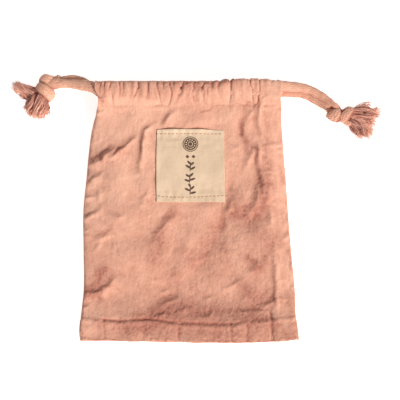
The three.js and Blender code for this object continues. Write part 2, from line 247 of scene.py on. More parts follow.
# Folds of the front: the widths on the crest's left and right, and (x, y, height) points along it. A
# crest drawn from left to right has its left-hand side towards the mouth.
FRONT_FOLDS = [
    (1.5, 4.5, (-73, 30, 0.5), (-66.6, 30.6, 1.7), (-61, 32.4, 2.4), (-55.9, 37.6, 2.2), (-50, 42.8, 0)),
    (1.3, 4, (-54, 34, 0), (-47.6, 39, 1.2), (-42.9, 43.2, 1.1), (-38.6, 47, 1), (-34, 51.5, 0)),
    (1.2, 3.6, (-33.6, 22, 0), (-33.6, 31.6, 1.3), (-32.2, 40.1, 2), (-31.8, 48.6, 2), (-31.2, 53.2, 1.8),
     (-27.8, 55.3, 1.3), (-24, 59, 0)),
    (1.2, 3.4, (-72.5, 14.6, 1), (-64.6, 20.4, 1.5), (-58.5, 25.3, 0)),
    (1.4, 3.6, (-22, 53.5, 0), (-16, 60, 1.5), (-13.6, 64.3, 1.6), (-8, 68.7, 0)),
    (0.9, 2.2, (-73, 6.8, 0.9), (-69, 7, 0.9), (-64, 7, 0)),
    (1, 2.2, (-62.8, 3, 0), (-61.8, 9.3, 0.7), (-61.6, 13.7, 0)),
    (1.1, 3, (-73, -8.6, 1.1), (-65.9, -4.6, 1.4), (-59, 0.4, 0)),
    (0.9, 2, (-73, -15.9, 0.8), (-66.5, -14.4, 0)),
    (0.9, 2, (-73, -20, 0.9), (-66.5, -18.6, 0)),
    (1, 2.6, (-67.3, -23.5, 0), (-60.4, -21, 0.9), (-51.4, -17.2, 0)),
    (1.3, 4.5, (-25, -20.6, 0), (-18.6, -14.6, 0.9), (-15.6, -11.6, 1), (-12.7, -7.7, 0.9), (-7, -3.8, 0)),
    (1, 2.4, (-57, -5.9, 0), (-47.7, -6.5, 0.7), (-43, -5.2, 0)),
    (1, 2.4, (-35, -2, 0), (-31.9, 2.5, 0.6), (-30.4, 6.1, 0)),
    (1.2, 3, (-35, 3, 0), (-29.2, 9, 0.8), (-27.3, 14.4, 0)),
    (1.3, 4.2, (-75, -59.9, 1.4), (-64.6, -57.9, 1.9), (-59.2, -56.9, 1.6), (-55.2, -53.4, 1.4), (-51.2, -49.4, 1.1),
     (-47.5, -44.2, 0)),
    (1, 2.4, (-74, -68.6, 1), (-70, -67.6, 0.9), (-65, -66.4, 0)),
    (1.2, 4, (-27, -69, 0), (-15.1, -64.4, 1), (-4.4, -60.1, 0)),
    (1, 2.6, (-28, -76.5, 0), (-19.8, -72.8, 1), (-12.4, -72.1, 0)),
    (1, 2.6, (-9, -72.3, 0), (-4, -69, 0.9), (0.7, -65.8, 0)),
    (1, 3, (4.4, -76, 0), (12, -73.5, 0.9), (19.8, -70.1, 0)),
    (1, 2.8, (28.6, -71.3, 0), (36, -70.4, 0.9), (46, -70, 1), (56, -71.3, 0)),
    (1, 2.6, (5, -63.2, 0), (12, -61.6, 0.6), (19.2, -60.9, 0)),
    (1.1, 3, (55.8, -72, 0), (58.4, -66.4, 1.2), (59, -52.5, 1.5), (58.1, -42.6, 1.3), (58, -34, 0.7), (57.9, -22, 0)),
    (2.2, 5, (37.3, -45.6, 0), (43, -41.6, 0.9), (50.1, -35.3, 0)),
    (0.9, 2.2, (-65, -30, 0), (-62.7, -26.5, 0.7), (-60.7, -23.3, 0)),
    (0.9, 2.2, (-29, -49.6, 0), (-22, -49.6, 0.5), (-16.1, -50, 0)),
    (1, 2.6, (0, -37.2, 0), (8, -35, 0.5), (17.5, -32.5, 0)),
    (1.1, 2.8, (47.6, 28, 0), (47.3, 31.3, 1.6), (47.2, 36.6, 1.9), (47.6, 45.5, 0)),
    (1.2, 3.2, (36, 23, 0), (40.3, 32.1, 1.3), (42.8, 38, 1.1), (43.4, 42, 0)),
    (1.2, 3, (50, 5, 0), (50.3, 8.9, 1.2), (50.5, 15.2, 1.7), (49.4, 21.1, 1.6), (48.5, 24.2, 1.5), (49.2, 32.5, 0)),
    (1.1, 2.8, (52.8, 1, 0), (53, 4.4, 1.1), (53.4, 8.5, 1.6), (54.6, 15.7, 0)),
    (1.8, 4.5, (38.7, -8.6, 0), (44.1, 1.3, 1.8), (46.1, 7, 1.9), (46.9, 12.7, 1.4), (47, 17, 0)),
    (1.6, 4.5, (23.5, -19, 0), (24.6, -12.9, 1.3), (25.6, -2.6, 1.8), (28.3, 1.3, 1.6), (31.5, 6.8, 0)),
    (1.1, 2.6, (54.8, -13.8, 0), (54.9, -8.8, 1.2), (55, -3.2, 1.1), (55, 1, 0)),
    (1.3, 4.2, (36.8, 46.3, 0), (38.2, 54.4, 1.1), (38.4, 59.4, 1.2), (43.2, 65.8, 0.9), (44.5, 68.5, 0)),
    (1.1, 3, (48.7, 48, 0), (48.8, 55.9, 1), (47.6, 61.1, 1.3), (47.8, 67.5, 1.2)),
    (1.2, 3, (42, 36, 0), (40.9, 41.5, 0.8), (37.8, 47.4, 0)),
    (0.9, 2, (48, 22, 0), (54, 22, 0.6), (60.7, 22.1, 0)),
    (0.9, 2.4, (26.1, 39.6, 0), (32, 41.6, 0.5), (38.3, 44.2, 0)),
    (0.9, 2.2, (57, 40, 0), (62, 40.3, 0.6), (66, 41, 0.6)),
    (2.6, 1.2, (48.9, 74, 0), (54, 75.2, 0.8), (60, 76, 0.8), (64, 76.8, 0.6)),
    (0.8, 1.6, (-70, 33, 0.3), (-62.6, 35, 1), (-56, 40.2, 0.6), (-52.5, 44, 0)),
    (0.8, 2.2, (-57, 31.5, 0), (-51, 36.2, 0.9), (-45.4, 41, 0.8), (-41.5, 44.5, 0)),
    (0.9, 1.8, (50.5, 42.8, 0), (55.6, 43.6, 0.9), (59.8, 44.3, 0.8), (66, 44.7, 0.4)),
    (0.8, 1.6, (46.5, 24, 0), (49.8, 24.4, 0.7), (55.4, 25.1, 0.6), (60, 25.1, 0)),
    (0.9, 1.9, (62, -23, 0), (65.2, -20.4, 0.9), (69.4, -16.3, 0.9), (72.2, -12.8, 0.5)),
    (0.8, 1.4, (-66.5, 75.6, 1), (-60.2, 75.2, 0.8), (-56, 75.6, 0)),
    (0.8, 1.6, (-68, 65.6, 1), (-61.7, 66.4, 0.6), (-58, 67.4, 0)),
    (0.9, 2.4, (-24, -60.5, 0), (-16, -56.5, 0.7), (-8, -55.6, 0)),
    (0.9, 2.6, (20, -57, 0), (30, -52, 0.8), (39, -47.5, 0)),
    (0.9, 2.2, (44, -66.5, 0), (52, -65.8, 1), (60, -62.5, 0.8), (66, -62, 0.4)),
]
# Broad hollows and swells: the width, and (x, y, height) points.
SWELLS = [
    (6.5, (31, 4, 0), (28.3, -4, -1.5), (15.2, -24, -1.7), (9.1, -38, -1.5), (-12, -58, -0.9), (-20, -66, 0)),
    (5.5, (52, 4, 0), (46.1, -5.6, -2.2), (39.2, -11.8, -1.2), (33, -18, 0)),
    (3.6, (34, 64, 0), (36.5, 51, -1.6), (40, 44, -1), (44, 34, 0)),
    (9, (-60, 46, 0), (-52, 36, 1), (-48, 20, 0.9), (-44, 0, 0)),
    (8, (-10, -10, 0), (-2, -22, 1.2), (-6, -46, 1), (-2, -60, 0)),
    (7.5, (56, -60, 0), (44, -54, 1.1), (34, -38, 1.2), (26, -22, 0)),
    (8.5, (-46, -58, 0), (-36, -48, 1.2), (-34, -30, 0.9), (-30, -16, 0)),
    (5, (60, 60, 0), (58, 40, 0.9), (60, 10, 0.9), (62, -20, 0)),
    (5, (-12, 66, 0), (-2, 60, 0.7), (20, 61, 0.8), (32, 64, 0)),
]
# Painted shade on the front, where it is also crumpled, or painted light below 0, where it is smooth: the width, and
# (x, y, share) points.
PAINTED_SHADING_STROKES = [
    (5.2, (-32, -75, 0.4), (-25, -71, 1), (-17, -69, 0.9), (-3, -69, 0.85), (7, -71, 0.9), (24, -69.5, 0.7),
     (41, -71, 0.8), (49, -67, 0.7), (58, -63, 0.5)),
    (4.5, (-17, -61, 0.25), (-3, -62, 0.25), (7, -64, 0.15), (31, -63, 0.2), (49, -60, 0.5), (54, -56, 0.4)),
    (4.2, (-60, -78, 0.5), (-47, -79, 0.6), (-33, -79, 0.8), (-16, -79, 0.8), (7, -79, 0.7), (27, -79, 0.7),
     (42, -78, 0.8), (55, -80, 0.5)),
    (4.1, (-57, -86, 0.35), (-26, -86, 0.3), (0, -86, 0.5), (17, -86, 0.7), (41, -86, 0.7), (53, -86, 0.5),
     (67, -86, 0.5)),
    (6.2, (50, 13, 0.7), (50, 4, 1), (43, -1, 0.8), (34, -4, 0.7), (25, -6, 0.6), (17, -14, 0.6), (12, -25, 0.5),
     (7, -33, 0.6), (0, -37, 0.6), (-8, -46, 0.3)),
    (4.1, (50, 28, 0.3), (51, 16, 0.5)),
    (6.9, (29, 6, 0.4), (40, -12, 0.4), (49, -19, 0.4), (58, -22, 0.6)),
    (4.1, (41, -34, 0.6), (45, -41, 0.9), (52, -37, 0.8), (53, -29, 0.4)),
    (4.1, (34, -53, 0.5), (42, -58, 0.8)),
    (3.1, (-73, -58, 1), (-66, -56, 0.9), (-61, -47, 0.9), (-58, -41, 0.8)),
    (2.6, (-68.5, 32.5, 0.3), (-62.4, 34.9, 1.1), (-57.3, 39.4, 0.9), (-52.5, 43.4, 0.4)),
    (2.6, (-54.2, 37.2, 0.5), (-49.6, 41, 0.8), (-44.5, 45, 0.6), (-39.5, 49, 0.4)),
    (3, (-50.5, 34.5, 0.3), (-45, 38.5, 0.6), (-40, 42, 0.3)),
    (2.6, (-35, 44, 0.3), (-31.5, 47, 0.5)),
    (3.4, (-62, 88, 0.5), (-60, 80, 0.6), (-59, 70, 0.5)),
    (4, (-54, 78, 0.3), (-20, 78, 0.3), (-10, 79, 0.1)),
    (2.6, (-4, 85, 0.3), (4, 85, 0.5), (20, 85.5, 0.45), (32, 86, 0.2)),
    (3.2, (67.5, -60, 0.5), (69, -72, 0.45), (70, -88, 0.4)),
    (3.6, (-62, -46, 0.2), (-54, -46, 0.3)),
    (3, (-66, -59, 0.3), (-60, -62, 0.5), (-55, -64, 0.2)),
    (3.4, (-40, -81, 0.3), (-28, -80, 0.35)),
    (2.6, (-33, -75, 0.2), (-18, -74, 0.25), (-6, -75, 0.3)),
    (3, (-52, -74, -0.25), (-46, -74, -0.25)),
    (3, (43, -74, 0.3), (52, -75, 0.5), (60, -80, 0.5)),
    (2.6, (-24, -17, 0.3), (-16, -10.5, 0.4), (-9, -5, 0.3)),
    (3.2, (-28, -18, -0.35), (-27.5, -15, -0.3)),
    (3, (-22, -5, -0.35), (-19, -1, -0.35)),
    (2.6, (-66, -21, 0.3), (-60, -17.5, 0.6), (-53, -15.5, 0.3)),
    (4, (-10, -38, -0.2), (-4, -40, -0.4)),
    (3.6, (3, -53, 0.4), (6, -58, 0.3)),
    (3.6, (24, -29, 0.5), (25, -37, 0.3)),
    (3.4, (-64, 24, -0.3), (-60, 23, -0.3)),
    (2.2, (64, 26, 0.3), (65, 20, 0.3)),
    (4, (60, 88, -0.5), (61, 79, -0.5)),
    (3, (-18, 62, 0.2), (-17, 56, 0.4)),
    (3, (-18, 67, -0.25), (-3, 66, -0.35)),
    (3, (52.5, 62, 0.25), (52.5, 46, 0.3), (52.5, 34, 0.4), (53, 24, 0.2)),
    (2.8, (-60, -80, 0.35), (-60, -88, 0.35)),
    (3, (-40, -84, 0.25), (-28, -84, 0.25)),
    (3.6, (-31, -56, 0.3), (-25, -59, 0.3)),
    (3, (46, -45, 0.2), (46, -49, 0.3)),
    (2.8, (45, -2, 0.3), (46, -7, 0.3)),
    (3.6, (-18, -25, 0.35), (-18, -32, 0.3)),
    (3, (-55, -11, 0.3), (-51, -12, 0.3)),
    (3, (14, -46, 0.2), (26, -46, 0.2)),
    # Painted shade along the left, right and bottom edges.
    (1.1, (-73, -86, 0.6), (-72.6, -57, 0.6), (-72.8, -30, 0.6), (-73.2, 0, 0.6), (-71.6, 22, 0.6), (-70.2, 40, 0.6),
     (-67.6, 59, 0.6), (-64, 70, 0.6)),
    (1, (73, -86, 0.5), (71.4, -57, 0.5), (69.4, -30, 0.5), (67.6, 0, 0.5), (66.5, 22, 0.5), (65.3, 40, 0.5),
     (64, 59, 0.5), (63.4, 69, 0.4)),
    (1, (-73, -90, 0.6), (0, -90, 0.6), (73, -90, 0.6)),
    (8, (-64, 81, 0.16), (64, 81, 0.16)),
    (2.2, (-66, -58.5, 0.7), (-58, -54.5, 0.9), (-53, -50.5, 0.5)),
    (4.8, (-25, -37, 0.5), (-22, -26, 0.6), (-20, -17, 0.5)),
    (2.8, (-16, -8, 0.5), (-10, -2, 0.5)),
    (24, (-47, -56, 0.1), (-6, -43, 0.2), (34, -29, 0.25)),
    (2.6, (39, 67.6, 0.4), (36.9, 64.1, 0.3), (35.5, 58.3, 0.5), (36.1, 51.9, 0.5), (39.5, 44.7, 0.5),
     (41.5, 38.4, 0.3)),
    (1.6, (45, 42.6, 0.8), (45.6, 36.2, 0.8), (46.9, 31.3, 0.6), (46.8, 24.2, 0.5), (49.5, 18.6, 0.6)),
    (1.4, (47.3, 74.3, 0.7), (45.9, 70.7, 0.9), (45.1, 66.3, 0.7), (44.4, 62, 0.3)),
    (0.9, (28, 69, 0.3), (40, 69.8, 0.5), (50, 70.2, 0.4)),
    (1.6, (9.1, 66.3, 0.6), (12.6, 68.5, 0.5), (16.8, 69.9, 0.3)),
    (1, (-65.6, 75.3, 0.9), (-60.2, 75, 0.7), (-58.2, 75.3, 0)),
    (1, (-67.5, 65.8, 0.9), (-61.7, 66.2, 0.5)),
    (2.8, (-27, 89, 0.3), (-17, 88.5, 0.6), (-3, 87.5, 0.9), (10, 86.5, 1.1), (17, 87, 1), (28, 88, 0.8),
     (35, 89, 0.3)),
    # Painted light on the upper left of the front.
    (13, (-62, 66, -0.5), (-38, 60, -0.5), (-26, 58, -0.2)),
    (10, (-50, 45, -0.45), (-30, 42, -0.4)),
    (5.5, (-66, 25, -0.6), (-68, 0, -0.5)),
    (12, (-50, 24, -0.3), (-35, 18, -0.35)),
]
# The edges of the tuck and of the seam turnings, which show through the front.
TUCK_LINE = [
    (-74, -75.0), (-64.2, -75.6), (-58.0, -76.4), (-47.4, -77.4), (-37, -76.4), (-28.8, -75.8), (-20.9, -76.3),
    (-14.4, -77.6), (-5.0, -78.2), (6.4, -78.5), (18.5, -78.9), (31.2, -78.4), (36.2, -76.6), (47.0, -76.2),
    (56, -75), (73, -74),
]
TUCK_GROOVE = [  # its depth, along X
    (-75, 0.5), (-61, 0.3), (-55, 1.0), (-42, 0.7), (-32, 1.2), (-16, 1.1), (6, 0.7), (30, 0.6), (48, 0.3), (75, 0.25),
]
TUCK_FOLDS = [
    (1.2, (-57.6, -77, -0.9), (-57.2, -83, -0.5), (-57.2, -91, -0.3)),
    (1.3, (-7, -77.8, -0.8), (-6.7, -84, -0.6), (-6.4, -91.5, -0.5)),
    (1.2, (5.7, -79, -0.7), (6.4, -89, 0)),
    (1.2, (27.3, -78.1, -0.8), (28.2, -85, -0.8), (28.7, -91.5, -0.7)),
    (1.5, (39.2, -78.8, -0.8), (38.6, -86, -0.8), (38.4, -91.5, -0.7)),
    (1.1, (55, -71.1, -1.1), (55.3, -82, -1.2), (56.4, -91.5, -1)),
    (1.4, (60, -76, 0), (63, -84, -0.6), (68, -91, -0.6)),
    (1.4, (-30, -77, -0.4), (-31, -91, -0.3)),
]

# Folds of the back, which is pressed flat by the pouch's own weight, so they only rise inwards.
BACK_FOLDS = [
    (1.4, 3.6, (-70, 52, 0), (-52, 40, -1.6), (-38, 36, -1.4), (-20, 22, 0)),
    (1.3, 3.4, (-60, -8, 0), (-44, -16, -1.5), (-24, -14, -1.3), (-6, -26, 0)),
    (1.3, 3.8, (10, 62, 0), (16, 44, -1.8), (12, 26, -1.4), (20, 6, 0)),
    (1.4, 3.4, (66, 24, 0), (50, 18, -1.5), (38, 4, -1.6), (22, -2, 0)),
    (1.4, 3.6, (30, -66, 0), (42, -48, -1.6), (44, -30, -1.4), (58, -12, 0)),
    (1.3, 3.2, (-68, -58, 0), (-50, -50, -1.4), (-34, -60, -1.2), (-12, -52, 0)),
    (1.2, 3, (-30, 64, 0), (-26, 54, -1.3), (-32, 42, 0)),
    (1.2, 3, (40, 66, 0), (44, 54, -1.4), (38, 42, 0)),
    (1.2, 3, (-8, 10, 0), (-2, -6, -1), (8, -20, 0)),
]


def in_label(x, y, margin):
    """1 well inside the label's outline and 0 outside it, over the given margin."""
    low, high = LABEL_LOW, LABEL_HIGH
    inside = smoothstep(low[0] - margin, low[0], x) * smoothstep(-high[0] - margin, -high[0], -x)
    return inside * smoothstep(low[1] - margin, low[1], y) * smoothstep(-high[1] - margin, -high[1], -y)


def warped(x, y):
    """The place with each coordinate moved by rolling noise, so that folds waver as they do in cotton."""
    return x + 0.35 * ripples(x, y, 9, 51), y + 0.35 * ripples(x, y, 9, 52)


def front_painted_shading(x, y):
    """How much painted shade the front has at a place, which also sets how crumpled it is, from about -0.6 to 1.2:
    below 0 it is painted light.
    """
    wx, wy = x + 1.3 * ripples(x, y, 9, 53), y + 1.3 * ripples(x, y, 9, 54)
    painted_shading = sum(fold(wx, wy, points, width) for width, *points in PAINTED_SHADING_STROKES)
    return np.minimum(painted_shading, 1.2) * (1 - in_label(x, y, 0.5))


def front_relief(x, y):
    """How far the front's cloth stands out from its smooth shape: folds, gathers, the ridges of what is
    sewn behind it, and crinkle all over. A gather is a thin furrow in a soft one."""
    relief = np.zeros(np.shape(x))
    wx, wy = warped(x, y)
    for width, *points in GATHERS:
        relief += 0.62 * fold(wx, y, points, 0.42 * width)
        relief += 0.34 * fold(wx, y, points, 1.3 * width)
    for width, *points in SWELLS + TUCK_FOLDS:
        relief += fold(wx, wy, points, width)
    uneven = 1.0 + 0.12 * ripples(x, y, 6, 55)
    for left, right, *points in FRONT_FOLDS:
        relief += uneven * fold(wx, wy, points, left, right)
    calm = 1 - 0.75 * in_label(x, y, 4)
    casing = smoothstep(STITCH_LINE, STITCH_LINE + 5, y)
    relief *= calm
    relief += 0.22 * casing * ripples(x, y, 6.0, 3, upright=3.5)
    relief += calm * (1 - casing) * (0.45 * ripples(x, y, 26, 1) + 0.1 * crumple(x, y, 15, 2))
    relief += calm * (0.03 * crumple(x, y, 7, 4, upright=1.6) + 0.03 * ripples(x, y, 3.2, 5, upright=1.3))
    relief += 0.18 * np.clip(front_painted_shading(x, y), 0, 1) * crumple(x, y, 4.4, 56)
    # The casing's line of stitching draws the cloth in.
    drawn = 0.05 + 0.55 * smoothstep(16, 32, x) * smoothstep(-60, -52, -x)
    relief -= drawn * np.exp(-(((y - STITCH_LINE) / 1.0) ** 2)) * (0.7 + 0.3 * ripples(x, y * 0, 7, 6))
    # Below the tuck's top edge there are four layers, and above it two.
    edge = np.interp(x, *np.array(TUCK_LINE).T)
    groove = through(TUCK_GROOVE, x) * np.exp(-(((y - edge - 0.4) / 0.8) ** 2))
    return relief + 0.5 * np.exp(-(((y - edge + 1.6) / 1.6) ** 2)) - groove


def back_relief(x, y):
    """As front_relief, for the back: gathers at the mouth and folds that rise away from the surface."""
    relief = np.zeros(np.shape(x))
    for width, *points in GATHERS:
        relief += fold(-x + 2.5, y, points, width)
    for left, right, *points in BACK_FOLDS:
        relief += fold(x, y, points, left, right)
    casing = smoothstep(STITCH_LINE, STITCH_LINE + 5, y)
    relief += 0.5 * casing * (ripples(x, y, 6.0, 13, upright=3.5) - 1)
    relief += (1 - casing) * (0.5 * (ripples(x, y, 26, 11) - 1) + 0.3 * (crumple(x, y, 15, 12) - 1))
    relief += 0.16 * (crumple(x, y, 6.5, 14, upright=1.6) - 1) + 0.1 * ripples(x, y, 3.4, 15, upright=1.5)
    relief -= 0.8 * np.exp(-(((y - STITCH_LINE) / 1.1) ** 2))
    edge = np.interp(-x, *np.array(TUCK_LINE).T)
    return relief - 0.7 * np.exp(-(((y - edge) / 0.9) ** 2))


def front_z(x, y):
    """Height of the finished front at a place, for what is sewn on it."""
    left, right = through(LEFT_EDGE, y), through(RIGHT_EDGE, y)
    across = (2 * x - left - right) / (right - left)
    return front_height(across, y) + front_relief(x, y)


# ---- Meshes ----


def placed(name, data):
    """A new object in the scene, with that mesh, light or camera."""
    made = bpy.data.objects.new(name, data)
    bpy.context.collection.objects.link(made)
    return made


def new_piece(name, points, faces, material):
    """A mesh of points in millimetres, smooth-shaded, with its material. It rides on the pouch, which is
    one body."""
    mesh = bpy.data.meshes.new(name)
    mesh.from_pydata((np.asarray(points) * MM).tolist(), [], [list(face) for face in faces])
    mesh.shade_smooth()
    mesh.materials.append(material)
    piece = placed(name, mesh)
    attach(piece, "root")
    return piece


def grid_faces(rows, columns, closed=False):
    """Quads of a grid of points in rows, each row closed on itself if asked."""
    i, j = np.meshgrid(np.arange(rows - 1), np.arange(columns if closed else columns - 1), indexing="ij")
    k = (j + 1) % columns
    corners_of = [i * columns + j, i * columns + k, (i + 1) * columns + k, (i + 1) * columns + j]
    return np.stack(corners_of, -1).reshape(-1, 4)


def bundle_faces(count, rings, sides):
    """Faces of many equal tubes, each with both of its ends capped."""
    wall = grid_faces(rings, sides, closed=True)
    first = np.arange(count)[:, None, None] * rings * sides
    walls = (wall[None] + first).reshape(-1, 4).tolist()
    caps = np.stack([np.arange(sides)[::-1], np.arange((rings - 1) * sides, rings * sides)])
    return walls + (caps[None] + first).reshape(-1, sides).tolist()


def bundle(name, middle, thick, sides, material):
    """Many equal tubes in one piece, from the points (tube, ring) along their middles and the radius of
    each ring."""
    forward = unit(np.gradient(middle, axis=1))
    first = unit(np.cross(forward, (0, 0, 1.0)))
    second = np.cross(first, forward)
    turn = np.linspace(0, 2 * math.pi, sides, endpoint=False)[:, None]
    ring = np.cos(turn) * first[:, :, None] - np.sin(turn) * second[:, :, None]
    points = (middle[:, :, None] + thick * ring).reshape(-1, 3)
    return new_piece(name, points, bundle_faces(*middle.shape[:2], sides), material)


def set_value(mesh, name, values):
    """A number for each point, which materials read as an attribute."""
    layer = mesh.attributes.new(name, "FLOAT", "POINT")
    layer.data.foreach_set("value", np.asarray(values, np.float32).ravel())


def grid_normals(points):
    """Unit normals of a grid: the cross product of its two directions."""
    return unit(np.cross(np.gradient(points, axis=1), np.gradient(points, axis=0)))


def shares_across(columns):
    """Shares across the bag from -1 to 1: that many evenly spaced columns, and closer ones within 4 mm of
    the sides."""
    half = 70.0  # about half of the bag's width
    close, reach = [0, 0.25, 0.6, 1.1, 1.7, 2.4, 3.2], 4.0
    near = 1 - np.array(close) / half
    return np.concatenate([-near, np.linspace(-1 + reach / half, 1 - reach / half, columns), near[::-1]])


def panel_section(pitch):
    """The lower part of half of the cloth's section, from the tuck's top round the bottom fold and up the
    panel to the casing's stitching. Rows of [y, depth under the outer face, share of relief]."""
    turn = np.linspace(0, math.pi, 9)[1:-1]
    tuck = [(y, 2 * BOTTOM_RADIUS, 0) for y in np.linspace(TUCK_TOP - 0.6, BOTTOM + 1.4, 6)]
    bottom = [
        (BOTTOM + BOTTOM_RADIUS * (1 - math.sin(a)), BOTTOM_RADIUS * (1 + math.cos(a)), (1 - math.cos(a)) / 2)
        for a in turn
    ]
    start = BOTTOM + BOTTOM_RADIUS + 0.2
    up = np.append(np.linspace(start, STITCH_LINE - SEAM_GAP, int((STITCH_LINE - start) / pitch)), STITCH_LINE)
    return np.array(tuck + bottom + [(y, 0, 1) for y in up])


def casing_section(pitch):
    """The rest of the section: up the casing, over the mouth's fold as a half circle, and down inside to
    the hem."""
    up = np.linspace(STITCH_LINE + SEAM_GAP, TOP - FOLD_RADIUS, int((TOP - FOLD_RADIUS - STITCH_LINE) / pitch))
    up = np.append(STITCH_LINE, up)
    turn = np.linspace(0, math.pi, 19)[1:-1]
    mouth = [
        (TOP - FOLD_RADIUS * (1 - math.sin(a)), FOLD_RADIUS * (1 - math.cos(a)) * CASING_HEIGHT / (2 * FOLD_RADIUS), 1)
        for a in turn
    ]
    hem_depth, widest_y, share = 1.3, 79.5, 0.6
    down = np.linspace(TOP - FOLD_RADIUS, STITCH_LINE - 2, 18)
    open_to = CASING_HEIGHT - hem_depth
    inside = [(y, hem_depth + open_to * smoothstep(STITCH_LINE, widest_y, y), share) for y in down]
    return np.array([(y, 0, 1) for y in up] + mouth + inside)


def side_drop(across, y, height, seam_height):
    """How far a face falls near its sides to meet the other face at the seam: a quarter circle over the
    last 3 mm. Over the casing there is no seam, and nothing falls."""
    reach = 3.0
    left, right = through(LEFT_EDGE, y), through(RIGHT_EDGE, y)
    distance = (1 - np.abs(across)) * (right - left) / 2
    t = 1 - np.clip(distance / reach, 0, 1)
    sewn = 1 - smoothstep(STITCH_LINE - 6, STITCH_LINE - 1, y)
    return sewn * (height - seam_height) * (1 - np.sqrt(1 - t * t))


def sheet_piece(name, points, material, thickness, painted_hollow_shade):
    """A grid of points made into cloth of that thickness, which grows inwards."""
    rows, columns = points.shape[:2]
    piece = new_piece(name, points.reshape(-1, 3), grid_faces(rows, columns), material)
    # Painted shade for the hollows, which the material reads.
    set_value(piece.data, "painted_hollow_shade", painted_hollow_shade)
    wall = piece.modifiers.new("cloth", "SOLIDIFY")
    wall.thickness = thickness * MM
    wall.offset = -1
    wall.use_even_offset = False
    return piece


def hollows(relief):
    """How deep each point lies in a fold: its relief under the average of what is round it."""
    pad, steepness = 6, 1.6
    soft = np.pad(relief, pad, mode="edge")
    for _ in range(3):
        for axis in (0, 1):
            soft = (np.roll(soft, 2, axis) + np.roll(soft, -2, axis) + soft * 2) / 4
    return np.clip((soft[pad:-pad, pad:-pad] - relief) * steepness, 0, 1)


def cloth_face(name, section, columns, material, up=1):
    """A face of the bag as one sheet, over a section: the front, or the back where up is -1. Its relief
    stands out along its normals and fades in the outer 3 % at the seams. The back stays off the ground."""
    across = shares_across(columns)
    y, depth, share = (column[:, None] for column in section.T)
    across, y = np.broadcast_arrays(across[None, :], y)
    x = sideways(across, y)
    if up > 0:
        height, relief, painted_shading = front_height(across, y), front_relief(x, y), front_painted_shading(x, y) * share
    else:
        height, relief, painted_shading = 0 * y, back_relief(x, y), 0 * x
    panel = (share == 1) & (depth < 1e-6)
    drop = np.where(panel, side_drop(across, y, height, through(SEAM_HEIGHT, y)), 0)
    points = np.stack([x, lengthwise(x, y), height - up * depth - drop], -1)
    edge_calm = 1 - np.where(panel, smoothstep(0.97, 1, np.abs(across)) * (y < STITCH_LINE), 0)
    points = points + grid_normals(points) * (up * relief * share * edge_calm)[..., None]
    if up < 0:
        points[..., 2] = np.maximum(points[..., 2], 0.6 * depth)
    # The relief's hollows carry painted shade for the creases, and the strokes' painted shade and light go to the
    # material too.
    piece = sheet_piece(name, points[:, ::up], material, CLOTH, (hollows(relief) * share)[:, ::up])
    set_value(piece.data, "painted_shading", painted_shading)
    return piece


# ---- Cords ----


def frames_along(path):
    """Two directions square to the path at each of its points, turning with it as little as can be."""
    forward = unit(np.gradient(path, axis=0))
    side = np.empty_like(path)
    start = np.cross(forward[0], (0, 0, 1))
    side[0] = start / np.linalg.norm(start)
    for i in range(1, len(path)):
        turned = side[i - 1] - forward[i] * side[i - 1].dot(forward[i])
        side[i] = turned / np.linalg.norm(turned)
    return side, np.cross(forward, side)


def braid(turn, gone):
    """Relief of a round braid, from -1 to 0: rounded diamonds between two families of spirals. It is the
    root of the product of two cosines, one for each family."""
    strands, pitch = 12, 2.7
    turn, gone = turn + 0.1 * np.sin(gone * 1.9), gone + 0.2 * np.sin(3 * turn + gone * 0.8)
    one = np.cos(strands * turn / 2 + math.pi * gone / pitch)
    other = np.cos(strands * turn / 2 - math.pi * gone / pitch)
    return np.sqrt(np.abs(one * other)) - 1


def pressed(offset, path, centre, axis):
    """Rings of a cord as its knot presses them: a wrap is thinner towards the knot's axis and wider along it, most of
    all on its lower side, and a cord inside the knot is slimmer all round. Also the painted shade of each point in the
    gaps beside a wrap, from 0 to 1, by how deep it lies there: the first wrap has a gap on its far side only."""
    in_knot, in_middle, in_gap = (9, 12), (1.8, 3.4), (1.5, 2.7)  # distances over which each changes
    away = path - centre
    near = 1 - smoothstep(*in_knot, np.linalg.norm(away, axis=1))
    away = away - (away @ axis)[:, None] * axis
    reach = np.linalg.norm(away, axis=1)
    radial = away / np.maximum(reach, 0.1)[:, None]
    round_it = smoothstep(*in_middle, reach)
    wrapped = (near * round_it)[:, None]
    inner = (near * (1 - round_it))[:, None]
    inwards = np.einsum("ijk,ik->ij", offset, radial)
    along = offset @ axis
    wider = 0.42 - 0.3 * radial[:, 1:2]
    further = smoothstep(-1.5, 0.5, (path - centre) @ axis)[:, None]
    gap_shade = wrapped * (smoothstep(*in_gap, along) + further * smoothstep(*in_gap, -along))
    offset = offset - (0.36 * wrapped * inwards)[..., None] * radial[:, None]
    offset = offset + (wider * wrapped * along)[..., None] * axis
    return offset * (1 - 0.16 * inner)[..., None], gap_shade


